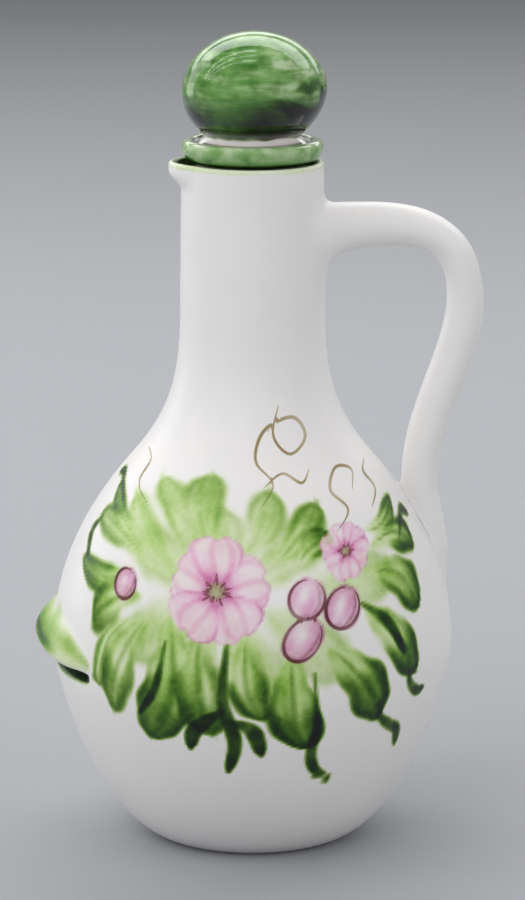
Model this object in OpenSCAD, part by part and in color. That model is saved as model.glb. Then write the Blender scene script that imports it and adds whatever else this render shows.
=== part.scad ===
// Lidded carafe: a glazed ceramic bottle with a loop handle, a pinched spout and a
// hooded finger recess in its belly, closed by a hollow ball stopper.
// Millimetres. The body turns about Z and stands on Z = 0. The handle is toward +X,
// the spout and the hood are toward -X.

/* [Body] */
// radius of the foot on which the carafe stands
foot_r = 32.5; // [30:0.5:35]
// widest radius of the belly
belly_r = 69.2; // [66:0.2:72]
// height of the widest place above the table
belly_h = 69.3; // [66:0.1:73]
// radius where the shoulder turns into the neck
shoulder_r = 40.7; // [38:0.1:43]
// height of that turn above the table
shoulder_h = 135.1; // [131:0.1:139]
// slope of the shoulder there, up from level
shoulder_slope = 49.8; // [45:0.1:55]
// thickness of the cast wall of the belly
wall = 4.2; // [3.6:0.1:5]
// thickness of the floor above the foot
floor_t = 5; // [4:0.1:7]
// depth of the hollow under the foot
foot_hollow = 2; // [1:0.1:3]
// width of the flat ring that touches the table
foot_ring_w = 5; // [4:0.1:7]

/* [Neck] */
// outside radius of the neck where it becomes straight
neck_r = 24.8; // [23.8:0.1:26]
// height at which the neck becomes straight
neck_h = 189; // [184:1:192]
// outside radius at the rim
rim_r = 24.3; // [23.5:0.1:25.5]
// height of the rim above the table
rim_h = 236; // [232:1:240]
// thickness of the neck at the rim
rim_wall = 3.4; // [3.2:0.1:3.8]
// rounding of the two edges of the rim
rim_round = 1.1; // [0.8:0.1:1.3]

/* [Spout] */
// how far the pinched lip stands out of the rim
spout_out = 4.3; // [3:0.1:5]
// how far below the rim the pinch begins
spout_drop = 9.5; // [8:0.5:11]
// half of the angle over which the rim is pulled out
spout_half = 36; // [30:1:42]

/* [Handle] */
// height of the middle of the upper arm
handle_h = 214; // [209:0.5:216]
// distance from the axis to the middle of the grip at its widest
handle_reach = 72.9; // [70:0.1:76]
// height of that widest place
handle_reach_h = 188; // [184:1:192]
// height at which the grip comes down to the body
handle_low_h = 124; // [121:1:127]
// distance there from the body to the middle of the grip
handle_leave = 7.5; // [6.8:0.1:8.5]
// height at which the tail of the handle runs out on the belly
handle_end_h = 92; // [88:1:96]
// half of the thickness of the grip
handle_t = 6.9; // [6.2:0.1:7.6]
// half of the height of the root where it flares onto the neck
handle_root = 13; // [11:0.5:14]

/* [Hood] */
// height of the two corners of the hood above the table
hood_h = 66; // [63:0.5:69]
// height of the arch over those corners
hood_arch = 16.5; // [15:0.1:18]
// how far the hood stands out of the belly
hood_out = 6.7; // [6:0.1:7.5]
// half of the angle that the hood spans round the belly
hood_half = 36.5; // [34:0.5:39]
// rise of the lip from its corners to its middle
hood_rise = 4.5; // [3.5:0.1:5.5]
// thickness of the hood at its lip
hood_t = 3.2; // [2.8:0.1:3.6]
// height of the slot under the corners
slot_h = 4.8; // [4.2:0.1:6]
// depth of the finger recess behind the face of the belly
recess_depth = 10; // [8:0.5:12]
// thickness of the wall behind the recess
recess_wall = 3.4; // [3:0.1:4]

/* [Stopper] */
// play all round between the plug and the bore of the neck
plug_play = 1.5; // [1:0.1:2]
// length of the plug below the rim
plug_l = 22; // [18:0.5:26]
// height of the rolled ring that sits on the rim
ring_h = 7.5; // [6.8:0.1:8.2]
// how far the ring stays inside the outside of the rim
ring_inset = 0.2; // [0:0.1:0.6]
// radius of the waist between ring and ball
collar_r = 16.4; // [15.5:0.1:17.2]
// height of the white collar between ring and ball
collar_up = 2.5; // [2:0.1:3.2]
// greatest radius of the ball
ball_r = 24.2; // [23:0.1:25.5]
// half of the height of the ball
ball_half_h = 20.2; // [19:0.1:21.5]
// thickness of the hollow stopper
stopper_wall = 3.4; // [3:0.1:3.8]

/* [Hidden] */
white_glaze = [0.91, 0.90, 0.90];
green_glaze = [0.45, 0.62, 0.38];
turn_fn = 96;

// outside of the body: three curves from the foot over belly and shoulder to the neck
rise = shoulder_h - belly_h;
climb = neck_h - shoulder_h;
slope = [-cos(shoulder_slope), sin(shoulder_slope)];
shoulder = [shoulder_r, shoulder_h];
foot_curve = bezier([foot_r, 0], [foot_r + 0.264 * belly_h, 0.076 * belly_h],
    [belly_r, 0.71 * belly_h], [belly_r, belly_h], 12);
belly_curve = bezier([belly_r, belly_h], [belly_r, belly_h + 0.516 * rise],
    shoulder - 0.157 * rise * slope, shoulder, 12);
neck_curve = bezier(shoulder, shoulder + 0.408 * climb * slope,
    [neck_r, neck_h - 0.44 * climb], [neck_r, neck_h], 10);
outline = concat(foot_curve, after_first(belly_curve), after_first(neck_curve));
radius_table = [for (p = concat(outline, [[rim_r, rim_h]])) [p[1], p[0]]];

// inside of the body: the wall behind that outline, then a straight bore
bore_r = rim_r - rim_wall;
floor_h = foot_hollow + floor_t;
cavity_side = [for (i = [1:len(outline) - 2])
    let (p = inset(i)) if (p[1] > floor_h + 2) p];
cavity_foot_r = cavity_side[0][0] - 2;

// middle line of the handle: root, arm, grip and tail, as [distance, height]
arm_start = [neck_r + 13.2, handle_h];
grip_top = [handle_reach, handle_reach_h];
grip_low = [body_r(handle_low_h) + handle_leave, handle_low_h];
handle_line = concat(
    bezier([neck_r - 2.3, handle_h - 5.4], [neck_r + 1.7, handle_h - 2.3],
        arm_start - [7, 0.5], arm_start, 6),
    after_first(bezier(arm_start, arm_start + [20, 1.4],
        grip_top + [0, 0.9 * (handle_h - handle_reach_h)], grip_top, 12)),
    after_first(bezier(grip_top, grip_top - [0, 20], grip_low + [-0.4, 24], grip_low, 12)),
    after_first(bezier(grip_low, grip_low - [0, 10],
        [body_r(handle_end_h + 11) + 0.8, handle_end_h + 11],
        [body_r(handle_end_h) - 1.6, handle_end_h], 8)));
// half thickness in the plane of the handle and half width across it, along that line,
// whose first sections stand upright on the neck
handle_thick = [[0, handle_root + 0.6], [0.026, handle_root - 0.5], [0.053, handle_root - 2.7],
    [0.079, handle_t + 1.8], [0.105, handle_t + 1], [0.16, handle_t + 0.2],
    [0.3, handle_t - 0.7], [0.4, handle_t - 0.8], [0.47, handle_t - 0.2], [0.55, handle_t - 0.1],
    [0.64, handle_t - 0.2], [0.75, handle_t - 0.9], [0.82, handle_t - 1.2],
    [0.9, handle_t - 1.9], [1, handle_t - 5.3]];
handle_wide = [[0, handle_t + 2.6], [0.05, handle_t + 1.5], [0.16, handle_t + 0.5],
    [0.62, handle_t + 0.1], [0.82, handle_t - 0.2], [0.94, handle_t - 1], [1, handle_t - 3]];

// levels of the stopper above its seat on the rim
plug_r = bore_r - plug_play;
ring_r = rim_r - ring_inset;
groove_r = ring_r - 3.9;
groove_h = ring_h - 0.8;
waist_h = groove_h + collar_up;
ball_h = waist_h + ball_half_h * sqrt(1 - pow(collar_r / ball_r, 2));

// a cubic curve from a to d, pulled toward b and c
function bezier(a, b, c, d, n) = [for (i = [0:n]) let (t = i / n, u = 1 - t)
    u * u * u * a + 3 * u * u * t * b + 3 * u * t * t * c + t * t * t * d];
// points on an ellipse about c from angle a0 to a1
function arc(c, rx, ry, a0, a1, n) = [for (i = [0:n])
    let (a = a0 + (a1 - a0) * i / n) c + [rx * cos(a), ry * sin(a)]];
function after_first(list) = [for (i = [1:len(list) - 1]) list[i]];
// outside radius of the turned body at a height
function body_r(z) = lookup(z, radius_table);
// thickness of the wall behind a height of the outline
function wall_at(z) = lookup(z, [[belly_h, wall], [neck_h, neck_r - bore_r]]);
// point of the outline moved inward by the wall
function inset(i) = let (d = outline[i + 1] - outline[i - 1])
    outline[i] + wall_at(outline[i][1]) * [-d[1], d[0]] / norm(d);
// point at a distance and height, turned by an angle from -X
function turned(p, a) = [-p[0] * cos(a), p[0] * sin(a), p[1]];
// half widths that swell from the corners of the hood to its middle
function swell(s) = sqrt(max(0, 1 - s * s));

// a solid through rings of points that run counter-clockwise seen from its start
module loft(rings) {
    n = len(rings[0]);
    m = len(rings);
    sides = [for (i = [0:m - 2], j = [0:n - 1])
        let (k = (j + 1) % n) each [[i * n + j, (i + 1) * n + k, i * n + k],
            [i * n + j, (i + 1) * n + j, (i + 1) * n + k]]];
    start = [for (j = [0:n - 1]) j];
    end = [for (j = [n - 1:-1:0]) (m - 1) * n + (j + 1) % n];
    polyhedron([for (ring = rings) each ring], concat(sides, [start], [end]), convexity = 6);
}

module turned_body() {
    rotate_extrude($fn = turn_fn)
        polygon(concat([[0, foot_hollow], [foot_r - foot_ring_w - 1, foot_hollow],
                [foot_r - foot_ring_w, 0]], outline,
            arc([rim_r - rim_round, rim_h - rim_round], rim_round, rim_round, 0, 90, 5),
            [[0, rim_h]]));
}

module cavity() {
    rotate_extrude($fn = turn_fn)
        polygon(concat([[0, floor_h], [cavity_foot_r, floor_h]], cavity_side,
            [[bore_r, neck_h]],
            arc([bore_r + rim_round, rim_h - rim_round], rim_round, rim_round, 180, 90, 5),
            [[bore_r + rim_round, rim_h + 1], [0, rim_h + 1]]));
}

module handle() {
    n = len(handle_line);
    loft([for (i = [0:n - 1])
        let (p = handle_line[i],
            d = handle_line[min(n - 1, i + 1)] - handle_line[max(0, i - 1)],
            upright = [-d[1] * min(1, i / 6), d[0]],
            across = upright / norm(upright),
            t = lookup(i / (n - 1), handle_thick),
            w = lookup(i / (n - 1), handle_wide))
        [for (j = [0:19]) let (a = 18 * j, q = p + t * cos(a) * across)
            [q[0], -w * sin(a), q[1]]]]);
}

// the rim pulled out to a lip: its outside, or the channel inside it
module spout(face_r, edge, out, back_r, top) {
    loft([for (i = [-9:9])
        let (a = i * spout_half / 9, f = pow(cos(90 * i / 9), 1.2), pull = (out + 0.5) * f - 0.5,
            turn = edge < 0 ? -rim_round : rim_round * f)
        [for (p = concat(
            [[back_r, rim_h - spout_drop]],
            [for (q = [0:0.2:1]) let (g = min(1, 1.3 * q)) [face_r - 0.5 + (pull + 0.5) * g * g * (3 - 2 * g),
                rim_h - spout_drop + (spout_drop - rim_round) * q]],
            [[face_r + pull + 0.3 * turn, rim_h - 0.3 * rim_round],
                [face_r + pull + turn, rim_h], [face_r + pull + turn, top],
                [back_r, top]])) turned(p, a)]]);
}

// the hood that overhangs the finger recess
module hood() {
    loft([for (i = [-7:7])
        let (s = sin(12 * i), w = swell(s), a = s * hood_half,
            low = hood_h + hood_rise * w * w, high = hood_h + hood_arch * w)
        [for (p = concat(
            [[body_r(low) - 2, low], [body_r(low) + (hood_out + 0.6) * w - 1.4, low]],
            [for (q = [0.08:0.115:1]) let (z = low + (high - low) * q)
                [body_r(z) + (hood_out + 0.6) * w * (1 - q * q) - 0.6, z]],
            [[body_r(high) - 2, high]])) turned(p, a)]]);
}

// the hollow under the hood, open below its lip
module recess() {
    loft([for (i = [-7:7])
        let (s = sin(11 * i), w = swell(s), a = s * (hood_half - 0.8),
            lip = hood_h + hood_rise * w * w, sill = hood_h - slot_h,
            back = body_r(hood_h) - recess_depth * w, open_r = body_r(hood_h) + hood_out + 5,
            under = max(back + 4.4 * w + 1, body_r(lip) + hood_out * w - hood_t),
            roof = lip + 0.45 * (hood_arch - hood_rise) * w)
        [for (p = [[under, lip], [under - 1.6 * w - 0.2, roof - 0.5 * w],
            [back + 3.2 * w + 0.4, roof], [back + 1.2 * w, roof - 0.8 * w],
            [back, roof - 3 * w], [back, sill + 3.4], [back + 0.6, sill + 1.6],
            [back + 2.5, sill + 0.4], [open_r, sill - 0.8], [open_r, lip]]) turned(p, a)]]);
}

// the wall that closes the hollow off from the inside of the belly
module recess_back() {
    front = body_r(hood_h) - 0.5 * wall - 1;
    deep = recess_depth + recess_wall - 0.5 * wall - 1;
    half_h = slot_h + recess_wall + 0.3 * hood_arch;
    loft([for (i = [-7:7])
        let (s = sin(12 * i), w = swell(s),
            a = s * (hood_half - 0.8 + recess_wall * 180 / (PI * belly_r)))
        [for (b = [90:15:270])
            turned([front + deep * (0.2 + 0.8 * w) * cos(b),
                hood_h + 0.2 * hood_arch + half_h * (0.3 + 0.7 * w) * sin(b)], a)]]);
}

module carafe() {
    color(white_glaze) difference() {
        union() {
            difference() {
                union() {
                    turned_body();
                    handle();
                    hood();
                    spout(rim_r, -1, spout_out, rim_r - 2, rim_h);
                }
                cavity();
            }
            recess_back();
        }
        recess();
        spout(bore_r, 1, spout_out + 0.5, bore_r - 3, rim_h + 1);
    }
}

module stopper() {
    low = -plug_l;
    color(green_glaze) translate([0, 0, rim_h]) rotate_extrude($fn = turn_fn) difference() {
        polygon(concat(
            [[0, low]],
            arc([plug_r - 1, low + 1], 1, 1, -90, 0, 4),
            [[plug_r, 0], [ring_r - 1.4, 0]],
            after_first(bezier([ring_r - 1.4, 0], [ring_r - 0.8, 0.1 * ring_h],
                [ring_r, 0.36 * ring_h], [ring_r, 0.69 * ring_h], 6)),
            after_first(bezier([ring_r, 0.69 * ring_h], [ring_r, 0.9 * ring_h],
                [ring_r - 0.8, ring_h], [ring_r - 2.2, ring_h], 6)),
            after_first(bezier([ring_r - 2.2, ring_h], [ring_r - 3.3, ring_h],
                [groove_r + 0.1, ring_h - 0.2], [groove_r, groove_h], 5)),
            after_first(bezier([groove_r, groove_h], [groove_r - 1.4, groove_h + 0.2],
                [collar_r, waist_h - 1.5], [collar_r, waist_h], 5)),
            after_first(arc([0, ball_h], ball_r, ball_half_h, -acos(collar_r / ball_r), 90, 24))));
        polygon(concat(
            [[0, low - 1], [plug_r - stopper_wall, low - 1], [plug_r - stopper_wall, 0]],
            arc([0, ball_h], ball_r - stopper_wall, ball_half_h - stopper_wall,
                -acos((collar_r - stopper_wall) / (ball_r - stopper_wall)), 90, 20)));
    }
}

carafe();
stopper();
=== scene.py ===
import bpy
import numpy as np
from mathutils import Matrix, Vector


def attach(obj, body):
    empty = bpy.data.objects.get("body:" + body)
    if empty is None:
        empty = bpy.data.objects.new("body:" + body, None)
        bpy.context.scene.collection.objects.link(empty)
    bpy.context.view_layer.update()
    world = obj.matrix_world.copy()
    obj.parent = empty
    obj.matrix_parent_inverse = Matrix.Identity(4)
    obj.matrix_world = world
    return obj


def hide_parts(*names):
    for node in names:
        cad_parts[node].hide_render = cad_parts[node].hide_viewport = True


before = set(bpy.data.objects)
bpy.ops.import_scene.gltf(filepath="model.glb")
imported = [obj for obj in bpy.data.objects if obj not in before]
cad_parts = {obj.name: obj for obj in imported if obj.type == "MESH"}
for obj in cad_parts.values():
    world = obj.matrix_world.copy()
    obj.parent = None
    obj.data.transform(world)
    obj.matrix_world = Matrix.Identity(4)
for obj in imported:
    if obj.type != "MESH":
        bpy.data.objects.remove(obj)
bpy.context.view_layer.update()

# Body. One slip casting of white earthenware: an egg-shaped belly that narrows to a
# long straight neck, on a flat foot ring, cast hollow and glazed inside and out.
# Its surface is one grid of sections round the axis, in millimetres until the end.


def bezier(a, b, c, d, n):
    """Cubic curve: (1-t)^3 a + 3 (1-t)^2 t b + 3 (1-t) t^2 c + t^3 d, at n + 1 even steps of t."""
    t = np.linspace(0, 1, n + 1)[:, None]
    a, b, c, d = (np.asarray(p, float) for p in (a, b, c, d))
    return (1 - t) ** 3 * a + 3 * (1 - t) ** 2 * t * b + 3 * (1 - t) * t * t * c + t**3 * d


FOOT_R, BELLY_R, BELLY_H = 32.5, 69.19, 69.3
SHOULDER_R, SHOULDER_H, SLOPE = 40.7, 135.1, np.radians(49.8)
NECK_R, NECK_H, RIM_R, RIM_H = 24.8, 189.0, 24.3, 236.0
WALL, RIM_WALL, ROUND = 4.2, 3.4, 1.1
BORE_R, FLOOR_H, HOLLOW = RIM_R - RIM_WALL, 7.0, 2.0

slope = np.array([-np.cos(SLOPE), np.sin(SLOPE)])
shoulder = np.array([SHOULDER_R, SHOULDER_H])
rise, climb = SHOULDER_H - BELLY_H, NECK_H - SHOULDER_H
outline = np.vstack([
    bezier([FOOT_R, 0], [FOOT_R + 0.264 * BELLY_H, 0.076 * BELLY_H],
           [BELLY_R, 0.71 * BELLY_H], [BELLY_R, BELLY_H], 120),
    bezier([BELLY_R, BELLY_H], [BELLY_R, BELLY_H + 0.516 * rise],
           shoulder - 0.157 * rise * slope, shoulder, 120)[1:],
    bezier(shoulder, shoulder + 0.408 * climb * slope,
           [NECK_R, NECK_H - 0.44 * climb], [NECK_R, NECK_H], 90)[1:],
    [[RIM_R, RIM_H]]])
outline_run = np.concatenate([[0], np.cumsum(np.hypot(*np.diff(outline, axis=0).T))])


def body_r(z):
    """Outside radius of the turned body at height z, read off the outline."""
    return np.interp(z, outline[:, 1], outline[:, 0])


def levels(low, high, step):
    """Heights from low to high whose places along the outline lie about step apart."""
    a, b = np.interp([low, high], outline[:, 1], outline_run)
    return np.interp(np.linspace(a, b, max(2, int(round((b - a) / step)) + 1)),
                     outline_run, outline[:, 1])


# columns, as the angle from +X: fine over the painted front, the handle and the hood
columns = np.radians(np.concatenate([
    np.linspace(-162, -32, 191)[:-1], np.linspace(-32, 32, 59)[:-1],
    np.linspace(32, 144, 43)[:-1], np.linspace(144, 198, 43)[:-1]]))
from_spout = np.degrees(np.abs((columns + 2 * np.pi) % (2 * np.pi) - np.pi))

# rows of the outside, from the middle of the foot up to the rim: close together where the
# painting, the hood, the handle's root and the beak lie
FOOT_IN, PAINT_LOW, HOOD_LOW, HOOD_HIGH, PAINT_HIGH = 27.5, 36.0, 54.0, 87.0, 142.0
PLAIN_LOW, ROOT_LOW, BEAK_LOW = 172.0, 190.0, 224.0
HOOD_RUN, HOOD_ROWS = 33.2, 56
under_foot = np.array([[9, HOLLOW], [18, HOLLOW], [FOOT_IN - 1.9, HOLLOW],
                       [FOOT_IN - 0.9, HOLLOW - 0.2], [FOOT_IN - 0.3, 0.9], [FOOT_IN, 0.25],
                       [FOOT_IN + 0.5, 0], [30, 0], [FOOT_R - 0.7, 0]])
below = levels(0.35, PAINT_LOW, 2.7)
painted_low = levels(PAINT_LOW, HOOD_LOW, 0.95)[1:]
hood_levels = levels(HOOD_LOW, HOOD_HIGH, HOOD_RUN / HOOD_ROWS)[1:-1]
painted_high = levels(HOOD_HIGH, PAINT_HIGH, 0.96)
neck_low = np.concatenate([levels(PAINT_HIGH, PLAIN_LOW, 1.6)[1:],
                           levels(PLAIN_LOW, ROOT_LOW, 3.0)[1:]])
neck_high = levels(ROOT_LOW, BEAK_LOW, 1.5)[1:]
rim_low = np.linspace(BEAK_LOW, RIM_H - ROUND, 13)[1:]
outer_z = np.concatenate([below, painted_low, hood_levels, painted_high, neck_low,
                          neck_high, rim_low])
outer = np.column_stack([body_r(outer_z), outer_z])
hood_start = len(below) + len(painted_low)
quarter = np.radians(np.linspace(0, 90, 6))
outer_round, inner_round = quarter[1:], quarter[1:] - quarter[1]
rim_top = np.vstack([
    np.column_stack([RIM_R - ROUND + ROUND * np.cos(outer_round),
                     RIM_H - ROUND + ROUND * np.sin(outer_round)]),
    np.column_stack([BORE_R + ROUND - ROUND * np.sin(inner_round),
                     RIM_H - ROUND + ROUND * np.cos(inner_round)]),
    [[BORE_R, RIM_H - ROUND]]])

# rows of the inside: a straight bore, then the wall behind the outline, then the floor
tangent = np.gradient(outline, axis=0)
tangent /= np.hypot(*tangent.T)[:, None]
wall = np.interp(outline[:, 1], [BELLY_H, NECK_H], [WALL, NECK_R - BORE_R])
inset = outline + wall[:, None] * np.column_stack([-tangent[:, 1], tangent[:, 0]])
inset = inset[(outline[:, 1] <= NECK_H) & (inset[:, 1] > FLOOR_H + 2)]
inner_z = np.concatenate([np.linspace(RIM_H - 3, BEAK_LOW, 5), [206.0],
                          np.linspace(NECK_H, FLOOR_H + 2.4, 19)])
inner = np.column_stack([np.interp(inner_z, inset[:, 1], inset[:, 0]), inner_z])
inner[inner_z >= NECK_H, 0] = BORE_R
floor = np.array([[inset[0, 0] - 1.2, FLOOR_H + 0.5], [inset[0, 0] - 3.5, FLOOR_H],
                  [20, FLOOR_H], [8, FLOOR_H]])

section = np.vstack([under_foot, outer, rim_top, inner, floor])
first_outer = len(under_foot)
last_outer = first_outer + len(outer)
first_inner = last_outer + len(rim_top)
behind = slice(first_inner, first_inner + len(inner))
radius = np.repeat(section[None, :, 0], len(columns), 0)
height = np.repeat(section[None, :, 1], len(columns), 0)

# Hood. A shell pressed out of the belly under the spout, open below its thin lip, so
# that the fingers of the pouring hand find a hold in the recess behind it.
HOOD_H, ARCH, HOOD_OUT, HOOD_HALF, HOOD_FADE, HOOD_T = 66.0, 16.5, 6.7, 36.5, 8, 3.2
LIP_UP, LIP_ARCH, ROOF_UP = 1.0, 4.8, 5.4
SILL, RECESS, BACK_WALL = 62.4, 10.0, 3.4


def lip_height(w):
    """Height of the hood's lip, which arches up as the sixth power of w."""
    return HOOD_H + LIP_UP + LIP_ARCH * w**6


def hood_rows(angle):
    """For each angle from the spout, the section through recess and hood as rows of radius
    and height: up the belly to the sill, in to the back, up, out under the roof to the lip,
    round its edge and back over the hood. All of it swells with w = sqrt(1 - (angle/half)^2),
    and the hood stands out by out * w * (1 - q^2), q being 0 at the lip and 1 at its root."""
    w = np.sqrt(np.clip(1 - (angle / HOOD_HALF) ** 2, 0, 1))[:, None]
    full = np.clip(2.2 * w, 0, 1)
    lip = lip_height(w)
    roof = lip + ROOF_UP * w
    back = body_r(HOOD_H) - RECESS * w

    def point(flat_z, r, z):
        z = flat_z + (z - flat_z) * full
        return np.stack([body_r(z) + (r - body_r(z)) * full, z], -1)

    edge_r = body_r(lip) + HOOD_OUT * w
    # each corner with the height that it sinks to where the hood runs out at its ends
    corners = [point(SILL, body_r(SILL) - 0.3, SILL - 0.3), point(63.2, back + 0.8, SILL + 1.2),
               point(63.7, back, roof - 2.5 * w), point(64.5, back + 3.4 * w, roof),
               point(65.3, edge_r - HOOD_T * full, lip + 0.3), point(65.8, edge_r - 0.3 * w, lip)]
    counts = [8, 7, 5, 7, 5]
    z = np.linspace(HOOD_LOW, SILL - 1.2, 7)[None, 1:] + 0 * w
    rows = [np.stack([body_r(z), z], -1)]
    for a, b, n in zip(corners, corners[1:], counts):
        t = np.linspace(0, 1, n + 1)[None, :-1, None]
        rows.append(a * (1 - t) + b * t)
    over = len(hood_levels) - sum(r.shape[1] for r in rows)
    z = lip + (HOOD_HIGH - lip) * np.linspace(0, 1, over + 1)[None, :-1]
    q = (z - lip) / np.maximum(HOOD_H + ARCH * w - lip, 0.5)
    swell = HOOD_OUT * w * np.clip(1 - q * q, 0, 1)
    rows.append(np.stack([body_r(z) + swell, z], -1))
    rows = np.concatenate(rows, 1)
    for _ in range(3):
        rows[:, 3:-2] = 0.25 * rows[:, 2:-3] + 0.5 * rows[:, 3:-2] + 0.25 * rows[:, 4:-1]
    return rows


hooded = from_spout < HOOD_HALF + HOOD_FADE
rows = hood_rows(from_spout[hooded])
fade = np.clip((from_spout[hooded] - HOOD_HALF) / HOOD_FADE, 0, 1)[:, None]
hood_z = rows[..., 1] * (1 - fade) + hood_levels[None] * fade
hood_r = np.where(fade > 0, body_r(hood_z), rows[..., 0])
band = slice(first_outer + hood_start, first_outer + hood_start + len(hood_levels))
radius[hooded, band], height[hooded, band] = hood_r, hood_z

# the wall behind the recess swells into the belly
w = np.sqrt(np.clip(1 - (from_spout / (HOOD_HALF + 3)) ** 2, 0, 1))[:, None]
swell_half = 14 * (0.3 + 0.7 * w)
bulge = np.sqrt(np.clip(1 - ((height[:, behind] - HOOD_H - 3) / swell_half) ** 2, 0, 1))
swollen = body_r(HOOD_H) - WALL - (RECESS + BACK_WALL - WALL) * w * bulge
radius[:, behind] = np.where((w > 0) & (bulge > 0), np.minimum(radius[:, behind], swollen),
                             radius[:, behind])

# Spout. The wet rim pinched outward with a finger over the hood, so that the lip runs
# out to a short beak.
SPOUT_OUT, SPOUT_DROP, SPOUT_HALF = 4.3, 9.5, 36.0
pull = np.cos(np.radians(np.clip(90 * from_spout / SPOUT_HALF, 0, 90)))[:, None] ** 1.2
near_rim = slice(last_outer - len(rim_low), first_inner + 4)
lift = np.clip(1.3 * (height[:, near_rim] - RIM_H + SPOUT_DROP) / (SPOUT_DROP - ROUND), 0, 1)
lift = lift * lift * (3 - 2 * lift)
thin = np.clip((RIM_R - radius[:, near_rim]) / RIM_WALL, 0, 1)
radius[:, near_rim] += pull * lift * (SPOUT_OUT + 0.4 * thin)

grid = np.stack([radius * np.cos(columns)[:, None], radius * np.sin(columns)[:, None],
                 height], -1)

# Handle. A rolled strap of the same clay, luted to the neck with a flared root and
# pressed down on the shoulder, where it runs out in a flat tail.
HANDLE_H, ARM_OUT = 214.0, 13.2
REACH_H, REACH = 188.0, 72.9
LOW_H, LEAVE, END_H = 124.0, 8.1, 78.0
GRIP = 6.85

# its middle line: out of the neck, over the arm to where it stands out most, down to where
# it comes near the shoulder, and along the belly to the end of the tail
arm = np.array([NECK_R + ARM_OUT, HANDLE_H])
top = np.array([REACH, REACH_H])
low = np.array([body_r(LOW_H) + LEAVE, LOW_H])
line = np.vstack([
    [[NECK_R - 3.3, HANDLE_H - 1.4]],
    bezier([NECK_R - 2.6, HANDLE_H - 1.4], [NECK_R + 3, HANDLE_H - 1.2],
           arm - [5, 0.4], arm, 24),
    bezier(arm, arm + [20, 1.4], top + [0, 0.9 * (HANDLE_H - REACH_H)], top, 48)[1:],
    bezier(top, top - [0, 20], low + [-0.4, 24], low, 48)[1:],
    bezier(low, low - [0, 10], [body_r(END_H + 24) + 2.9, END_H + 24],
           [body_r(END_H) - 4.4, END_H], 44)[1:]])

# half thickness and half width of the strap from root to tail
step = np.clip((np.arange(len(line)) - 1) / (len(line) - 2), 0, 1)
thick = GRIP + np.interp(step, [0, 0.08, 0.16, 0.3, 0.4, 0.47, 0.55, 0.64, 0.75, 0.82, 0.9, 1],
                         [1.9, 1.7, 0.9, -0.7, -0.8, -0.2, -0.1, -0.2, -0.7, -0.7, -1.5, -5.6])
wide = GRIP + np.interp(step, [0, 0.05, 0.16, 0.62, 0.82, 0.94, 1],
                        [1.6, 1.2, 0.5, 0.1, -0.2, -1, -3.6])
for _ in range(6):
    thick[1:-1] = 0.25 * thick[:-2] + 0.5 * thick[1:-1] + 0.25 * thick[2:]
    wide[1:-1] = 0.25 * wide[:-2] + 0.5 * wide[1:-1] + 0.25 * wide[2:]
ahead = np.gradient(line, axis=0)
off_root = np.clip((np.arange(len(line)) - 1) / 24, 0, 1)
upright = np.column_stack([-ahead[:, 1] * off_root, ahead[:, 0]])
upright /= np.hypot(*upright.T)[:, None]
turn = np.linspace(0, 2 * np.pi, 49)[:-1]
tube = line[:, None] + (thick[:, None] * np.cos(turn))[..., None] * upright[:, None]
tube = np.stack([tube[..., 0], -wide[:, None] * np.sin(turn), tube[..., 1]], -1)
steep = np.gradient(outline[:, 0], outline[:, 1])
fine = [np.interp(np.linspace(0, len(line) - 1, 8 * len(line)), np.arange(len(line)), column)
        for column in np.column_stack([line, upright, thick, wide]).T]

# heights up the joint, with the reach of the thumb that smoothed it there
THUMB_H = [76, 88, 104, 126, 180, 195, 208, 220]
THUMB_REACH = [0.8, 1.5, 3.5, 3.0, 6.0, 10.5, 10.5, 4.5]
OVERLAP, SINK, TAIL_LOW, JOINT_HALF = 1.8, 0.05, 70.0, 62


def unit(v):
    """v over its length."""
    return v / np.maximum(np.linalg.norm(v, axis=-1, keepdims=True), 1e-9)


def smoothed(points, own):
    """Points moved onto the skin that the potter's thumb leaves over body and handle, where
    the smooth least of both distances is 0: b + h (a - b) - k h (1 - h), a being the
    distance from the body, b from the handle, h = 1/2 + (b - a) / 2k, and k the reach of the
    thumb. A point that starts inside the other one ends a hair under the skin, and one that
    starts deep inside it, or turned away from it, stays."""
    x, z, up_x, up_z, thick, wide = fine
    moved, share, sink = points.copy(), None, 0
    for _ in range(5):
        level, aside = moved[..., 2], moved[..., 1]
        lean = np.interp(level, outline[:, 1], steep)
        a = (np.hypot(moved[..., 0], aside) - body_r(level)) / np.sqrt(1 + lean**2)
        to_a = unit(unit(moved * [1, 1, 0]) - lean[..., None] * [0, 0, 1])
        best = np.argmin((moved[..., None, 0] - x) ** 2 + (moved[..., None, 2] - z) ** 2, -1)
        half_t, half_w, ux, uz = thick[best], wide[best], up_x[best], up_z[best]
        across = (moved[..., 0] - x[best]) * ux + (level - z[best]) * uz
        size = np.hypot(across / half_t, aside / half_w)
        b = np.hypot(across, aside) * (1 - 1 / np.maximum(size, 1e-3))
        to_b = unit(np.stack([across / half_t**2 * ux, aside / half_w**2,
                              across / half_t**2 * uz], -1))
        k = np.interp(level, THUMB_H, THUMB_REACH)
        h = np.clip(0.5 + (b - a) / (2 * k), 0, 1)
        skin = b + h * (a - b) - k * h * (1 - h)
        slope = h[..., None] * to_a + (1 - h[..., None]) * to_b
        if share is None:
            # full where the two surfaces don't look at each other, or else lie close
            other = a if own == "handle" else b
            facing = np.maximum(((to_a * to_b).sum(-1) + 0.75) / 0.35, 1 + other / 1.2)
            share = np.clip(1 + OVERLAP + other, 0, 1) * np.clip(facing, 0, 1)
            share *= np.clip((level - TAIL_LOW) / 8, 0, 1)
            sink = SINK * np.clip(-other, 0, 3)
        step = share * (skin + sink) / np.maximum((slope**2).sum(-1), 0.2)
        moved -= step[..., None] * slope
    return moved


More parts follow.
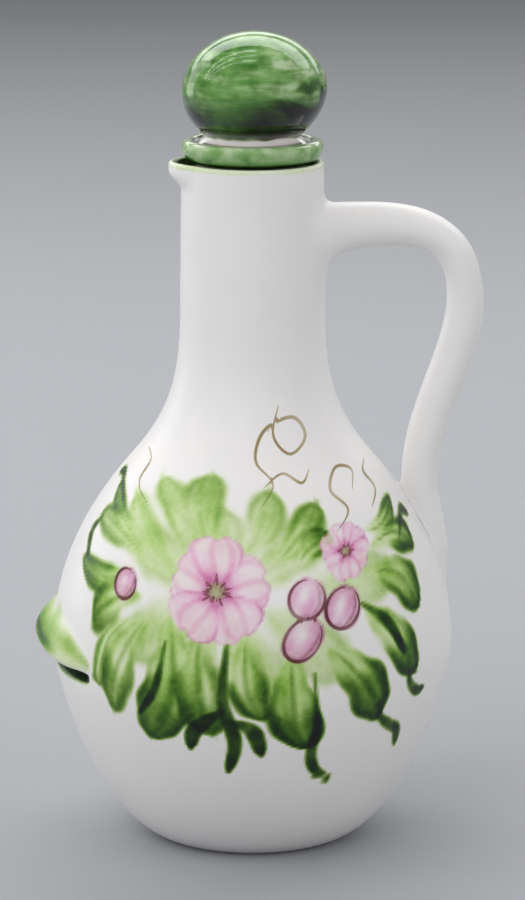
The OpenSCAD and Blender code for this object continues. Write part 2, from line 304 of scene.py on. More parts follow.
tube = smoothed(tube, "handle")
by_handle = np.abs((columns + np.pi) % (2 * np.pi) - np.pi) < np.radians(JOINT_HALF)
rows = slice(first_outer + hood_start, last_outer)
grid[by_handle, rows] = smoothed(grid[by_handle, rows], "body")


def closed_sheet(points, poles):
    """Quads between neighbouring columns and rows of a grid that closes round the first
    axis, with a fan of triangles from each of the two poles."""
    n, m = points.shape[:2]
    i, j = np.meshgrid(np.arange(n), np.arange(m - 1), indexing="ij")
    k = (i + 1) % n
    quads = np.stack([i * m + j, k * m + j, k * m + j + 1, i * m + j + 1], -1).reshape(-1, 4)
    i = np.arange(n)
    k = (i + 1) % n
    start = np.stack([k * m, i * m, np.full(n, n * m)], -1)
    end = np.stack([i * m + m - 1, k * m + m - 1, np.full(n, n * m + 1)], -1)
    return np.vstack([points.reshape(-1, 3), poles]), quads, np.vstack([start, end])


def build(name, parts):
    """One mesh object in metres from (points, quads, triangles) parts in millimetres."""
    base, points, faces = 0, [], []
    for p, quads, tris in parts:
        points.append(p)
        faces += (quads + base).tolist() + (tris + base).tolist()
        base += len(p)
    mesh = bpy.data.meshes.new(name)
    mesh.from_pydata(np.vstack(points) / 1000, [], faces)
    mesh.polygons.foreach_set("use_smooth", np.ones(len(mesh.polygons), bool))
    mesh.update()
    piece = bpy.data.objects.new(name, mesh)
    bpy.context.scene.collection.objects.link(piece)
    return piece


body_part = closed_sheet(grid, [[0, 0, HOLLOW], [0, 0, FLOOR_H]])
tube_part = closed_sheet(tube.transpose(1, 0, 2)[::-1],
                         [[line[0, 0], 0, line[0, 1]], [line[-1, 0], 0, line[-1, 1]]])
carafe = build("carafe_glazed", [body_part, tube_part])
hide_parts("carafe")
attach(carafe, "root")

# Decoration. Painted over the white glaze before the second firing, with a loaded brush
# and a liner, on the belly's front. It lies on flat coordinates: u is the way round from
# the front and v the way up along the outline from the widest level, in millimetres.
FAR = 9.0


class Painting:
    """Glaze laid on the flat coordinates (u, v) of the belly, in millimetres. What a spot
    holds is an optical density for red, green and blue, kept in self.density. Thin lines
    are kept apart, as the signed and the plain distance from the nearest one, in half
    widths of it and FAR at most, so that the shader can draw them finer than the mesh."""

    def __init__(self, u, v):
        self.u, self.v = u, v
        self.density = np.zeros(u.shape + (3,))
        self.hair = np.full(u.shape + (2,), FAR)
        self.hair_density = np.zeros(u.shape + (3,))

    def near(self, points, room):
        """The spots within room millimetres of the box round the points."""
        low, high = np.min(points, 0) - room, np.max(points, 0) + room
        return (self.u > low[0]) & (self.u < high[0]) & (self.v > low[1]) & (self.v < high[1])

    def lay(self, near, cover, pigment, keep=1.0):
        """Adds cover * pigment, after what lies below was thinned to the share keep."""
        cover = cover[..., None]
        thinned = self.density[near] * (1 - np.clip(cover, 0, 1) * (1 - keep))
        self.density[near] = thinned + cover * pigment


def soft(x, low, high):
    """0 below low, 1 above high, and 3t^2 - 2t^3 between."""
    t = np.clip((x - low) / (high - low), 0, 1)
    return t * t * (3 - 2 * t)


def ripple(a, b, seed):
    """Slow uneven wash from -1 to 1: the mean of four crossed sine waves."""
    return (np.sin(1.0 * a + 0.6 * b + seed) + np.sin(0.7 * b - 1.3 * a + 2.1 * seed)
            + np.sin(2.3 * a + 0.9 * b + 3.7 * seed) + np.sin(1.9 * b - 0.4 * a + 5.3 * seed)) / 4


def blade(art, start, end, bend, room):
    """Coordinates of a brush mark from start to end that is bent aside by bend: s runs from
    0 to 1 along it and d is the distance from its bent middle line, in millimetres."""
    start, end = np.array(start, float), np.array(end, float)
    near = art.near([start, end], room)
    ahead = end - start
    span = np.hypot(*ahead)
    pu, pv = art.u[near] - start[0], art.v[near] - start[1]
    s = (pu * ahead[0] + pv * ahead[1]) / span**2
    d = (ahead[0] * pv - ahead[1] * pu) / span - bend * 4 * s * (1 - s)
    return near, s, d, span


LEAF = np.array([0.62, 0.25, 1.35])
DEEP = np.array([1.45, 1.0, 2.3])
PINK = np.array([0.08, 0.55, 0.27])
MAUVE = np.array([0.40, 1.05, 0.55])
BROWN = np.array([0.85, 1.2, 1.2])
TWIG = np.array([0.5, 0.62, 0.95])


def leaf(art, start, end, width, bend=0.0, wash=0.9, dark=1.0, wet=1.0, keep=0.25):
    """A leaf laid with a loaded brush from stem to tip: a pale uneven wash streaked along
    its length, in front of which the brush was pressed down and left its deep green in the
    tip and along both edges; its half width is 1.1 width s^0.6 (1 - s^4)^0.7."""
    near, s, d, span = blade(art, start, end, bend, 1.3 * width + 4)
    seed = 0.37 * start[0] + 0.61 * end[1]
    u, v = art.u[near], art.v[near]
    t = np.clip(s, 0, 1)
    half = 1.1 * width * t**0.6 * (1 - t**4) ** 0.7
    fray = 0.11 * width * ripple(0.30 * u, 0.30 * v, seed)
    edge = np.minimum(half - np.abs(d), span * np.minimum(s, 1 - s)) + fray * soft(t, 0, 0.3)
    inside = soft(edge, -wet, wet)
    x = d / np.maximum(half, 1.5)
    streak = ripple(4.5 * x, 2.0 * s, seed)
    blot = ripple(0.20 * u + 0.05 * v, 0.24 * v, 1.7 * seed)
    art.lay(near, inside, 0 * LEAF, keep)
    pale = np.clip(0.75 + 0.35 * streak + 0.35 * blot + 0.3 * s, 0.15, 3)
    art.lay(near, wash * inside * pale, LEAF)
    press = soft(s + 0.22 * x * x + 0.16 * streak + 0.14 * blot, 0.42, 1.05)
    hem = np.exp(-((edge - 0.13 * width) / (0.16 * width)) ** 2) * soft(s + 0.3 * blot, 0.1, 0.7)
    vein = soft(0.13 - np.abs(x + 0.12 * np.sin(5 * s + seed)), -0.13, 0.12)
    vein = vein * soft(s, 0, 0.25) * soft(1 - s, 0, 0.5)
    art.lay(near, dark * inside * (1.5 * press + 0.8 * hem + 0.5 * vein), DEEP)


def petal(art, start, end, width, bend=0.0, wash=1.0, keep=0.1):
    """A petal laid from the heart outward: pale and notched at its broad end, with brush
    lines that run together toward the heart and a thin mauve line round its end."""
    near, s, d, span = blade(art, start, end, bend, 1.3 * width + 3)
    seed = 0.9 * start[0] + 1.7 * end[1]
    t = np.clip(s, 0, 1)
    half = width * np.sin(0.66 * np.pi * t) ** 0.8 * np.sqrt(1 - t**6)
    notch = 1.6 * np.exp(-(d / 1.7) ** 2) * soft(s, 0.75, 1)
    edge = np.minimum(half - np.abs(d), span * np.minimum(1 - s, s)) - notch
    edge = edge + 0.35 * ripple(0.5 * d, 5 * s, seed)
    inside = soft(edge, -0.5, 0.6)
    x = d / np.maximum(half, 0.5)
    line = soft(np.sin(9 * x + 0.9 * np.sin(4 * s + seed) + seed), 0.0, 1)
    art.lay(near, inside, 0 * PINK, keep)
    tone = (0.45 + 0.35 * ripple(2.5 * x, 3 * s, seed) + 0.75 * line * (1.1 - 0.7 * s)
            + 0.9 * soft(0.55 - s, 0, 0.5))
    art.lay(near, wash * inside * np.clip(tone, 0.05, 3), PINK)
    hem = soft(0.9 - np.abs(edge - 0.5), 0, 0.9)
    hem = hem * (0.5 + 0.6 * ripple(3 * s, 2 * x, 2 * seed)).clip(0.1, 2)
    heart = inside * soft(0.36 - s, 0, 0.3)
    art.lay(near, wash * (0.75 * hem * soft(s, 0.3, 0.7) + 0.6 * heart), MAUVE)


def plum(art, stem, tip, width, tone=0.5, keep=0.1):
    """A small fruit: a pale oval wash from stem to tip with a window left in it, an uneven
    outline drawn round it and a second one inside along its shaded side."""
    near, s, d, span = blade(art, stem, tip, 0.0, width + 3)
    seed = stem[0] + tip[1]
    half = width * np.sqrt(np.clip(1 - (2 * np.clip(s, 0, 1) - 1) ** 2, 0, 1)) ** 0.9
    x = d / width
    edge = np.minimum(half - np.abs(d), span * np.minimum(s, 1 - s) * 1.4)
    edge = edge + 0.35 * ripple(3 * x, 5 * s, seed)
    inside = soft(edge, -0.6, 0.6)
    window = np.exp(-((x + 0.2) ** 2 + (1.4 * s - 0.6) ** 2) / 0.10)
    art.lay(near, inside, 0 * PINK, keep)
    art.lay(near, inside * (1 - 0.85 * window) * (0.7 + 0.5 * ripple(3 * x, 4 * s, seed)),
            PINK + 0.35 * MAUVE * (0.2 + tone))
    rim = soft(1.6 - np.abs(edge - 0.6), 0, 1.6) * (0.7 + 0.5 * np.sin(4 * s + 2.5 * x + seed))
    second = soft(1.0 - np.abs(edge - 0.34 * width), 0, 1.0) * soft(x + 0.6 * s, 0.1, 0.8)
    art.lay(near, (0.15 + 0.45 * tone) * rim + (0.2 + 0.6 * tone) * second, BROWN)
    stem, tip = np.array(stem, float), np.array(tip, float)
    ahead, turns = (tip - stem) / 2, np.radians(np.linspace(8, 356, 15))[:, None]
    aside = np.array([-ahead[1], ahead[0]]) / np.hypot(*ahead) * (width - 0.5)
    outline_round = (stem + tip) / 2 - 0.93 * ahead * np.cos(turns) + aside * np.sin(turns)
    hairline(art, outline_round, 0.6, (0.8 + 0.7 * tone) * BROWN)


def curve(points, n=40):
    """A smooth line through the points: each stretch is a cubic whose ends lean along the
    line between the neighbours."""
    p = np.asarray(points, float)
    lean = np.gradient(p, axis=0)
    t = np.linspace(0, len(p) - 1, n)
    i = np.minimum(t.astype(int), len(p) - 2)
    t = (t - i)[:, None]
    a, b, la, lb = p[i], p[i + 1], lean[i], lean[i + 1]
    return (2 * t**3 - 3 * t**2 + 1) * a + (t**3 - 2 * t**2 + t) * la \
        + (3 * t**2 - 2 * t**3) * b + (t**3 - t**2) * lb


def from_path(art, points, width, room):
    """For the spots near the line through the points: how far along it they lie, from 0 to 1,
    on which side of it, the distance from it, and its half width there, which is width but
    for its tapered ends."""
    path = curve(points)
    near = art.near(path, room)
    spot = np.stack([art.u[near], art.v[near]], -1)
    a, ab = path[:-1], np.diff(path, axis=0)
    t = np.clip(((spot[:, None] - a) * ab).sum(-1) / (ab**2).sum(-1), 0, 1)
    off = spot[:, None] - (a + t[..., None] * ab)
    far = np.linalg.norm(off, axis=-1)
    i, row = np.argmin(far, 1), np.arange(len(spot))
    s = (i + t[row, i]) / len(ab)
    side = np.sign(ab[i, 0] * off[row, i, 1] - ab[i, 1] * off[row, i, 0])
    taper = np.clip(2.5 * s, 0.02, 1) ** 0.6 * np.clip(2.5 - 2.5 * s, 0.02, 1) ** 0.35
    return near, s, side, far[row, i], width * taper


def comma(art, points, width, strength=3.1, wet=0.85):
    """A dark mark pressed with the tip of a full brush along the points, wider and darker
    toward its end, where the brush was lifted and the glaze pooled."""
    near, s, _, far, half = from_path(art, points, width, 1.5 * width + 3)
    inside = soft(half * (0.75 + 0.7 * s) - far, -wet, wet)
    pooled = 0.55 + 0.75 * s + 0.2 * np.sin(17 * s + points[0][0])
    art.lay(near, strength * inside * pooled, DEEP)


def hairline(art, points, width, colour):
    """A thin line drawn with a liner through the points, paler and darker along its way."""
    near, s, side, far, half = from_path(art, points, width, 6)
    ratio = far / half
    closer = ratio < art.hair[near][:, 1]
    spots = tuple(axis[closer] for axis in np.nonzero(near))
    art.hair[spots] = np.stack([side * ratio, ratio], -1)[closer].clip(-FAR, FAR)
    strength = 1 + 0.35 * np.sin(13 * s + points[0][1])
    art.hair_density[spots] = (strength[:, None] * colour)[closer]


def flower(art, centre, reach, width, turn, stamens):
    """Five petals round a heart of olive dabs, with brown stamens drawn out from it."""
    c = np.array(centre, float)
    for k in (0, 2, 4, 1, 3):
        a = np.radians(turn + 72 * k + 5 * np.sin(3 * k))
        e = np.array([np.cos(a), np.sin(a)])
        tip = c + (reach + 0.09 * reach * np.sin(2.3 * k)) * e
        petal(art, c + 0.06 * reach * e, tip, width, 0.07 * reach * np.sin(1.7 * k))
    near = art.near([c], 0.4 * reach)
    u, v = art.u[near], art.v[near]
    far = np.hypot(u - c[0], v - c[1]) + 0.04 * reach * ripple(u, v, turn)
    art.lay(near, soft(0.17 * reach - far, -0.8, 0.8), 0.5 * BROWN + 0.5 * LEAF, 0.3)
    for k in range(stamens):
        a = np.radians(turn + 360 / stamens * k + 9 * np.sin(5 * k))
        e = np.array([np.cos(a), np.sin(a)]) * reach * (0.27 + 0.05 * np.sin(4 * k))
        hairline(art, [c + 0.35 * e, c + 0.7 * e, c + 1.1 * e], 0.5, 0.9 * BROWN)


outside = slice(first_outer, last_outer)
flat_h = np.repeat(section[None, outside, 1], len(columns), 0)
round_front = (columns + 1.5 * np.pi) % (2 * np.pi) - np.pi
flat_run, widest_run = (np.interp(z, outline[:, 1], outline_run) for z in (flat_h, BELLY_H))
art = Painting(round_front[:, None] * body_r(flat_h), flat_run - widest_run)

# a pale wet wash under everything
for start, end in (((-14, 30), (-42, 50)), ((-14, 30), (-46, 8)), ((-14, 26), (-30, -8)),
                   ((-10, 26), (10, -6)), ((-4, 34), (26, 54)), ((4, 26), (34, 2)),
                   ((20, 34), (54, 34)), ((-12, 36), (-12, 62))):
    leaf(art, start, end, 12, 0, 0.55, 0.12, 3.2)

# leaves, in the order of painting: toward the neck, on both sides, the broad ones below;
# stem, tip, width, bend, wash, dark and wet of each
for touch in (((-26, 36), (-46, 62), 11, 4, 0.7, 0.08, 3.0),
              ((-20, 42), (-34, 70), 10, -3, 0.7, 0.15, 2.6),
              ((-14, 44), (-14, 74), 10, 3, 0.75, 0.25, 2.4),
              ((-4, 44), (6, 68), 9, -3, 0.7, 0.25, 2.4),
              ((8, 42), (22, 62), 9, -2, 0.8, 0.45, 2.0),
              ((16, 40), (28, 50), 7, 3, 0.9, 0.9, 1.4),
              ((-42, 48), (-60, 64), 6, 3, 0.8, 0.9, 1.2),
              ((-40, 42), (-68, 50), 8, -3, 0.7, 0.6, 2.0),
              ((-44, 36), (-74, 34), 7, 4, 0.9, 0.9, 1.4),
              ((-40, 28), (-63, 16), 8.5, -3, 0.9, 0.7, 1.6),
              ((-44, 20), (-59, -6), 7, -4, 0.75, 0.55, 1.6),
              ((42, 50), (60, 58), 6, -3, 0.9, 1.0, 1.2),
              ((44, 44), (70, 40), 8, 4, 0.9, 1.3, 1.2),
              ((42, 36), (68, 20), 9.5, 4, 1.0, 1.2, 1.2),
              ((40, 24), (64, -2), 9.5, 2, 1.1, 1.5, 1.0),
              ((-36, 22), (-52, -14), 10, -5, 0.8, 0.7, 1.6),
              ((-28, 22), (-36, -22), 14, 4, 1.0, 1.1, 1.3),
              ((-16, 20), (-14, -18), 12, -4, 0.8, 1.0, 1.4),
              ((-2, 18), (4, -12), 9, -3, 0.9, 1.0, 1.4),
              ((26, 12), (46, -16), 11, 4, 0.9, 1.5, 1.0),
              ((14, 12), (20, -24), 12, -4, 1.1, 1.5, 1.0)):
    leaf(art, *touch)

# dark stems and commas pressed with the tip of the brush: half width, then the points
for width, *points in ((1.9, (-8, 20), (-10, -4), (-6, -20), (-8, -32)),
                       (2.3, (-9, -8), (-15, -12), (-20, -17), (-21, -23)),
                       (2.2, (-8, -12), (0, -16), (3, -25)),
                       (1.5, (21, 4), (22, -14), (20, -25), (21, -32), (26, -37)),
                       (1.6, (46, -8), (47, -15), (51, -19), (55, -22), (55, -28)),
                       (1.5, (60, 2), (61, -5), (65, -9), (69, -9)),
                       (1.2, (-52, 56), (-60, 66), (-66, 66)),
                       (1.4, (60, 44), (66, 52), (72, 50)),
                       (1.4, (38, 26), (50, 18), (58, 6)),
                       (1.1, (-30, 14), (-34, -2), (-40, -12)),
                       (1.2, (-66, 50), (-72, 44), (-71, 36))):
    comma(art, points, width)

# tendrils drawn with a liner: half width, then the points
for width, *points in ((0.6, (2, 60), (7, 70), (1, 79), (4, 90), (14, 94), (19, 87), (13, 81),
                        (7, 88), (9, 99)),
                       (0.5, (3, 68), (10, 74), (17, 70), (20, 75)),
                       (0.6, (29, 50), (35, 58), (28, 66), (31, 74), (39, 72), (38, 65)),
                       (0.6, (46, 56), (51, 63), (46, 70), (50, 74)),
                       (0.5, (-38, 58), (-46, 66), (-42, 75), (-47, 79))):
    hairline(art, points, width, TWIG * 1.5)

# on top two flowers, by centre, reach, half width of a petal, turn and number of stamens,
# and four fruits, by stem, tip, half width and tone
flower(art, (-12, 32), 18, 10.5, 15, 9)
flower(art, (33, 44), 10, 6.2, 60, 6)
plum(art, (20, 36), (17, 22), 6.8, 0.45)
plum(art, (34, 32), (29, 18), 6.8, 0.9)
plum(art, (22, 22), (12, 9), 6.4, 0.7)
plum(art, (-44, 36), (-50, 26), 5.0, 0.8)

pigment, hair_pigment = np.zeros(grid.shape), np.zeros(grid.shape)
hair = np.full(grid.shape[:2] + (2,), FAR)
pigment[:, outside], hair_pigment[:, outside] = art.density, art.hair_density
hair[:, outside] = art.hair

# the hood is washed green, thin at its root, and the recess under it is dark green glaze, painted
# near black as painted shade of the recess
w = np.sqrt(np.clip(1 - (from_spout[hooded] / (HOOD_HALF + 1)) ** 2, 0, 1))[:, None]
lip_z = lip_height(w)
root = (hood_z - lip_z) / np.maximum(HOOD_H + (ARCH + 3) * w - lip_z, 1.0)
outer_side = soft(np.arange(len(hood_levels)) - 32.5, -1, 1)[None]
angle = from_spout[hooded][:, None]
streaks = ripple(0.22 * angle, 5 * root, 1.0)
shell = outer_side * soft(1 - root + 0.16 * streaks, 0.0, 0.7)
shell = shell * soft(w, 0.05, 0.3) * soft(root, 0.01, 0.13)
near_lip = outer_side * np.exp(-((root - 0.26 - 0.04 * streaks) / 0.08) ** 2)
near_lip = near_lip * soft(w, 0.1, 0.4) * soft(26 - angle, 0, 14)
worn = soft(angle + 6 * streaks, 13, 25) * soft(0.75 - root, 0, 0.5)
# painted shade: the surfaces of the recess, dark green deepened to near black
under = soft(body_r(hood_z) - hood_r, 0.1, 1.4) * (1 - outer_side)
pigment[hooded, band] += ((shell * (1 - 0.8 * worn))[..., None] * (1.3 * LEAF + 0.6 * DEEP)
                          + near_lip[..., None] * 1.5 * DEEP
                          + under[..., None] * (LEAF + 3.2 * DEEP))

# a thin green line on the rim; over the inner half of the rim and down the mouth a dark green,
# a little green glaze deepened as painted shade under the stopper's ring and inside the neck
rim_rows = slice(last_outer - 1, last_outer + 4)
pigment[:, rim_rows] += (0.27 + 0.2 * ripple(3 * columns, 0, 2.0))[:, None, None] * LEAF
# painted shade under the stopper: dark green on the inner half of the rim and down the mouth
pigment[:, last_outer + 5:first_inner + 7] += 1.2 * LEAF + 2.0 * DEEP

# all of it kept in the mesh, where the glaze reads it; the poles and the handle stay bare
for name, kind, bare, values in (("pigment", "FLOAT_VECTOR", 0.0, pigment),
                                 ("hair", "FLOAT2", FAR, hair),
                                 ("hair_pigment", "FLOAT_VECTOR", 0.0, hair_pigment)):
    held = np.full((len(carafe.data.vertices), values.shape[-1]), bare)
    held[:values.shape[0] * values.shape[1]] = values.reshape(-1, values.shape[-1])
    carafe.data.attributes.new(name, kind, "POINT").data.foreach_set("vector", held.ravel())


# White glaze. An opaque white earthenware glaze, softly glossy and a little uneven, with a
# rare brown speck where iron in the clay came through. The painting tints it.


class Shade:
    """A socket of a shader tree. Sums, differences, products and powers of these add Math
    nodes, or Vector Math nodes where one side is a colour or a vector."""

    def __init__(self, tree, socket=None):
        self.tree, self.socket = tree, socket

    def node(self, kind, settings=None, values=None, output=0):
        """Adds any other node: its settings first, then values or links for its inputs."""
        made = self.tree.nodes.new("ShaderNode" + kind)
        for name, value in (settings or {}).items():
            setattr(made, name, value)
        for key, value in (values or {}).items():
            if isinstance(value, Shade):
                self.tree.links.new(value.socket, made.inputs[key])
            else:
                made.inputs[key].default_value = value
        return Shade(self.tree, made.outputs[output])

    def join(self, operation, a, b):
        wide = any(isinstance(x, tuple) or isinstance(x, Shade) and x.socket.type != "VALUE"
                   for x in (a, b))
        if not wide:
            return self.node("Math", {"operation": operation}, {0: a, 1: b})
        a, b = ((x,) * 3 if isinstance(x, (int, float)) else x for x in (a, b))
        return self.node("VectorMath", {"operation": operation}, {0: a, 1: b})

    def __add__(self, other):
        return self.join("ADD", self, other)

    def __sub__(self, other):
        return self.join("SUBTRACT", self, other)

    def __rsub__(self, other):
        return self.join("SUBTRACT", other, self)

    def __mul__(self, other):
        return self.join("MULTIPLY", self, other)

    def __rpow__(self, other):
        return self.join("POWER", other, self)

    def step(self, low, high, start=0.0, end=1.0):
        """start below low, end above high, and a smooth ramp between them."""
        return self.node("MapRange", {"interpolation_type": "SMOOTHSTEP"},
                         {0: self, 1: low, 2: high, 3: start, 4: end})

    def mix(self, a, b):
        """a where this is 0 and b where it is 1."""
        a, b = ((*x, 1) if isinstance(x, tuple) else x for x in (a, b))
        return self.node("Mix", {"data_type": "RGBA"}, {0: self, 6: a, 7: b}, 2)


def glaze(name):
    """A new material, its Principled shader, and its object coordinates in millimetres."""
    made = bpy.data.materials.new(name)
    made.use_nodes = True
    tree = Shade(made.node_tree)
    return made, made.node_tree.nodes["Principled BSDF"], tree.node("TexCoord", output=3) * 1000


def let_through(density):
    """The share of the light that glaze of this optical density lets through: e^-density."""
    return 2.718 ** (density * -1.0)


white, shader, place = glaze("white glaze")
wash = place.node("Attribute", {"attribute_name": "pigment"}, output=1)
lines = place.node("Attribute", {"attribute_name": "hair"}, output=1)
drawn = place.node("Attribute", {"attribute_name": "hair_pigment"}, output=1)
signed = place.node("SeparateXYZ", None, {0: lines})
plain = place.node("SeparateXYZ", None, {0: lines}, 1)
on_line = place.node("Math", {"operation": "ABSOLUTE"}, {0: signed}).step(1.35, 0.65)
on_line = on_line * plain.step(2.5, 1.8)
grain = place.node("TexNoise", None,
                   {"Vector": place, "Scale": 0.45, "Detail": 3.0, "Roughness": 0.6})
cloud = place.node("TexNoise", None, {"Vector": place, "Scale": 0.05, "Detail": 2.0})
tint = let_through(wash * (grain.step(0.25, 0.75) * 0.3 + 0.85) + drawn * on_line)
speck = place.node("TexVoronoi", None, {"Vector": place, "Scale": 0.05}).step(0.028, 0.018)
base = cloud.step(0.3, 0.7).mix((0.80, 0.785, 0.78), (0.815, 0.80, 0.79))
base = speck.mix(base * tint, (0.30, 0.17, 0.12))
peel = place.node("TexNoise", None, {"Vector": place, "Scale": 0.7, "Detail": 1.0})
relief = place.node("Bump", None, {"Strength": 1.0, "Distance": 0.0001,
                                   "Height": cloud * 1.6 + peel * 0.12})
white.node_tree.links.new(base.socket, shader.inputs["Base Color"])
white.node_tree.links.new((grain * 0.12 + 0.34).socket, shader.inputs["Roughness"])
white.node_tree.links.new(relief.socket, shader.inputs["Normal"])
shader.inputs["Specular IOR Level"].default_value = 0.3
shader.inputs["Coat Weight"].default_value = 0.2
shader.inputs["Coat Roughness"].default_value = 0.2
carafe.data.materials.append(white)

# Stopper. A second, smaller casting, hollow and open below: a plug that hangs in the
# neck, a rolled ring that sits on the rim, a white collar and an oblate ball.
PLAY, PLUG_L, RING_R, RING_H = 1.5, 22.0, RIM_R - 0.2, 7.5
COLLAR_R, COLLAR_UP, STOPPER_WALL = 16.4, 2.5, 3.4
BALL_R, BALL_HALF, BALL_ASIDE = 24.7, 20.05, 0.8
PLUG_R = BORE_R - PLAY
PLUG_IN = PLUG_R - STOPPER_WALL
GROOVE_R, GROOVE_H = RING_R - 3.9, RING_H - 0.8
WAIST_H = GROOVE_H + COLLAR_UP
BALL_H = WAIST_H + BALL_HALF * np.sqrt(1 - (COLLAR_R / BALL_R) ** 2)


def arc(centre, rx, ry, start, end, n):
    """Points centre + (rx cos a, ry sin a) at n + 1 even angles from start to end degrees."""
    a = np.radians(np.linspace(start, end, n + 1))
    return np.asarray(centre) + np.column_stack([rx * np.cos(a), ry * np.sin(a)])


neck_in = COLLAR_R - STOPPER_WALL
ball_in = (BALL_R - STOPPER_WALL, BALL_HALF - STOPPER_WALL)
profile = np.vstack([
    arc([0, BALL_H], *ball_in, 88, -np.degrees(np.arccos(neck_in / ball_in[0])), 16),
    [[PLUG_IN, 0], [PLUG_IN, -8], [PLUG_IN, 0.6 - PLUG_L], [PLUG_IN + 0.4, -PLUG_L]],
    arc([PLUG_R - 1, 1 - PLUG_L], 1, 1, -90, 0, 5),
    [[PLUG_R, -14], [PLUG_R, -6], [PLUG_R, -0.2], [PLUG_R + 0.15, 0], [PLUG_R + 1.4, 0]],
    bezier([PLUG_R + 1.5, 0], [RING_R - 1.4, 0.10 * RING_H], [RING_R, 0.32 * RING_H],
           [RING_R, 0.66 * RING_H], 12),
    bezier([RING_R, 0.66 * RING_H], [RING_R, 0.88 * RING_H], [RING_R - 0.9, RING_H],
           [RING_R - 2.3, RING_H], 12)[1:],
    bezier([RING_R - 2.3, RING_H], [RING_R - 3.3, RING_H], [GROOVE_R + 0.1, RING_H - 0.2],
           [GROOVE_R, GROOVE_H], 10)[1:],
    bezier([GROOVE_R, GROOVE_H], [GROOVE_R - 1.4, GROOVE_H + 0.2], [COLLAR_R, WAIST_H - 1.5],
           [COLLAR_R, WAIST_H], 10)[1:],
    arc([0, BALL_H], BALL_R, BALL_HALF, -np.degrees(np.arccos(COLLAR_R / BALL_R)), 88.5, 90)[1:]])
turns = np.linspace(-np.pi, np.pi, 193)[:-1]
grid = np.stack([profile[None, :, 0] * np.cos(turns)[:, None],
                 profile[None, :, 0] * np.sin(turns)[:, None],
                 RIM_H + profile[None, :, 1] + 0 * turns[:, None]], -1)
grid[..., 0] += BALL_ASIDE * soft(grid[..., 2] - RIM_H - WAIST_H, 0, BALL_HALF)
stopper = build("stopper_glazed", [closed_sheet(grid, [[0, 0, RIM_H + BALL_H + ball_in[1]],
                                                       [0, 0, RIM_H + BALL_H + BALL_HALF]])])
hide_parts("stopper")
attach(stopper, "root")

# its green glaze, brushed on in bands and paler toward the top right; painted shade and
# painted dark reflection make the ball near black below and on its right, and darken the
# ring's foot and its groove
green, shader, place = glaze("green glaze")
up = place.node("SeparateXYZ", None, {0: place}, 2) - RIM_H
out = place.node("VectorMath", {"operation": "LENGTH"}, {0: place * (1.0, 1.0, 0.0)}, 1)
patch = place.node("TexNoise", None, {"Vector": place * (1.0, 1.0, 1.6), "Scale": 0.055,
                                      "Detail": 2.0, "Distortion": 0.8})
small = place.node("TexNoise", None, {"Vector": place, "Scale": 0.2, "Detail": 3.0})
brushed = place.node("TexNoise", None, {"Vector": place * (0.12, 0.12, 1.0), "Scale": 0.5,
                                        "Detail": 2.0})
edge_noise = place.node("TexNoise", None, {"Vector": place, "Scale": 0.10, "Detail": 1.0})
aside = place.node("SeparateXYZ", None, {0: place})
above = up - BALL_H
on_ball = (up + (edge_noise - 0.5) * 5.0).step(BALL_H - 15.2, BALL_H - 13.2)
on_ring = out.step(GROOVE_R - 0.1, GROOVE_R + 0.5) * up.step(RING_H + 1, RING_H + 0.5)
blotch = patch.step(0.34, 0.60)
# painted shade and painted dark reflection: the ball darker below its middle and darker still
# toward its right side, with blotches of heavy glaze
pooled = above.step(2, -11) * (aside.step(-7, 12) * 1.3 + aside.step(-12, -20) * 0.8 + 0.22)
heavy_glaze_and_shade = pooled * (blotch * 0.7 + 0.5) \
    + aside.step(6, 18) * above.step(7, -2) * patch.step(0.42, 0.58) * 0.8
# paler toward the top right of the ball
thinned = aside.step(0, 10) * above.step(-2, 6) * (1.0 - blotch * 0.6)
ball_glaze = (brushed - 0.5) * 2.2 + (small - 0.5) * 0.9 + blotch * 0.5 + 1.05 - thinned * 0.6
ball_deep_and_shade = heavy_glaze_and_shade * 3.2 + small.step(0.45, 0.7) * 0.3
# the ring: paler at its top, where the glaze runs thin, darker down its lower flank and near black
# at its foot, glaze gathered there and deepened as painted shade of the gap over the rim
ring_glaze = (up.step(RING_H, 2.5) * 0.35 + small.step(0.35, 0.75) * 0.7
              + up.step(3.6, 1.0) * 0.9 + 0.4)
ring_deep_and_shade = up.step(2.0, 0.5) * 2.0 + small.step(0.5, 0.75) * up.step(5.5, 2.0) * 0.5
# a dark line in the groove under the collar: green glaze gathered there and painted shade of the
# crease
groove_glaze_and_shade = up.step(GROOVE_H - 0.3, GROOVE_H + 0.05) * up.step(GROOVE_H + 0.9, GROOVE_H + 0.3) \
    * out.step(GROOVE_R + 0.6, GROOVE_R + 0.1)
ball_glaze = ball_glaze.join("MAXIMUM", ball_glaze, 0.5)
density = (on_ball * ball_glaze + on_ring * ring_glaze) * (1.35, 0.70, 1.75) \
    + (on_ball * ball_deep_and_shade + on_ring * ring_deep_and_shade + groove_glaze_and_shade) * (1.3, 1.15, 1.5)
base = let_through(density) * (0.80, 0.755, 0.75)
green.node_tree.links.new(base.socket, shader.inputs["Base Color"])
relief = place.node("Bump", None, {"Strength": 1.0, "Distance": 0.0001,
                                   "Height": brushed * 1.2 + small * 0.5})
green.node_tree.links.new(relief.socket, shader.inputs["Normal"])
shader.inputs["Roughness"].default_value = 0.08
shader.inputs["IOR"].default_value = 1.5
shader.inputs["Coat Weight"].default_value = 0.3
shader.inputs["Coat Roughness"].default_value = 0.04
stopper.data.materials.append(green)

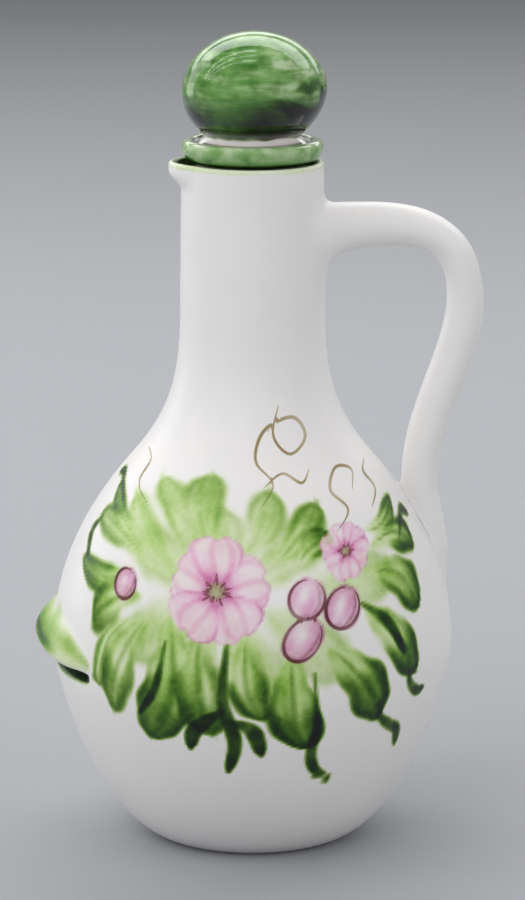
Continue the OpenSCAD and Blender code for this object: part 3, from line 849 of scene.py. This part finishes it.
# Table. A plain pale surface under the carafe, wide enough to fill every view, matt so that
# the lamps leave no bright patch on it.
HALF_SIDE = 6
mesh = bpy.data.meshes.new("table")
mesh.from_pydata([(x * HALF_SIDE, y * HALF_SIDE, 0)
                  for x, y in ((-1, -1), (1, -1), (1, 1), (-1, 1))], [], [(0, 1, 2, 3)])
table = bpy.data.objects.new("table", mesh)
bpy.context.scene.collection.objects.link(table)
pale = bpy.data.materials.new("pale table")
pale.use_nodes = True
shader = pale.node_tree.nodes["Principled BSDF"]
shader.inputs["Base Color"].default_value = (0.36, 0.37, 0.39, 1)
shader.inputs["Specular IOR Level"].default_value = 0.1
shader.inputs["Roughness"].default_value = 0.8
mesh.materials.append(pale)

# Light. Soft boxes above, behind and beside, and a faint even light all round. The key and
# the fill show no reflection, and three thin tubes leave fine streaks on the ball.
scene = bpy.context.scene
world = bpy.data.worlds.new("studio")
scene.world = world
world.use_nodes = True
world.node_tree.nodes["Background"].inputs["Color"].default_value = (1, 1, 1, 1)
world.node_tree.nodes["Background"].inputs["Strength"].default_value = 0.34


def softbox(name, shape, place, aim, width, tall, watts):
    """A wide area lamp at place, turned so that it looks at aim."""
    lamp = bpy.data.lights.new(name, "AREA")
    lamp.shape, lamp.size, lamp.size_y, lamp.energy = shape, width, tall, watts
    holder = bpy.data.objects.new(name, lamp)
    scene.collection.objects.link(holder)
    holder.location = place
    holder.rotation_euler = (Vector(aim) - Vector(place)).to_track_quat("-Z", "Y").to_euler()
    return holder


softbox("key", "ELLIPSE", (-1.9, -1.7, 1.8), (0, 0, 0.14), 4.4, 3.4, 62).visible_glossy = False
softbox("top", "RECTANGLE", (0.15, 1.0, 1.45), (0, 0, 0.24), 3.2, 0.8, 21)
softbox("back", "RECTANGLE", (0, 2.3, 1.15), (0, 0, 0.24), 4.6, 0.5, 12)
softbox("side", "RECTANGLE", (-1.4, 0.95, 0.75), (0, 0, 0.22), 0.7, 1.5, 4)
softbox("fill", "ELLIPSE", (2.0, -1.2, 1.0), (0, 0, 0.2), 2.4, 2.4, 20).visible_glossy = False
for number, (y, z) in enumerate(((0.32, 1.65), (0.05, 1.75), (-0.25, 1.8))):
    softbox(f"tube {number + 1}", "RECTANGLE", (-1.65, y, z), (-1.65, 0, 0.2), 3.4, 0.07, 3)

# Camera, where the photograph was taken from: 1.4 m away and looking 12.3 degrees down.
# The last three are in pixels of a frame that is FRAME_TALL high.
EYE_BACK, EYE_UP, LOOK_DOWN = 1.4, 0.44, 12.28
FRAME_TALL, FOCAL, SHIFT = 900, 4147, 10
eye = bpy.data.cameras.new("camera")
eye.sensor_width = 36
eye.lens = FOCAL * eye.sensor_width / FRAME_TALL
eye.shift_x = SHIFT / FRAME_TALL
eye.clip_start, eye.clip_end = 0.05, 20
camera = bpy.data.objects.new("camera", eye)
scene.collection.objects.link(camera)
camera.location = (0, -EYE_BACK, EYE_UP)
camera.rotation_euler = (np.radians(90 - LOOK_DOWN), 0, 0)
scene.camera = camera
scene.view_settings.view_transform = "Standard"
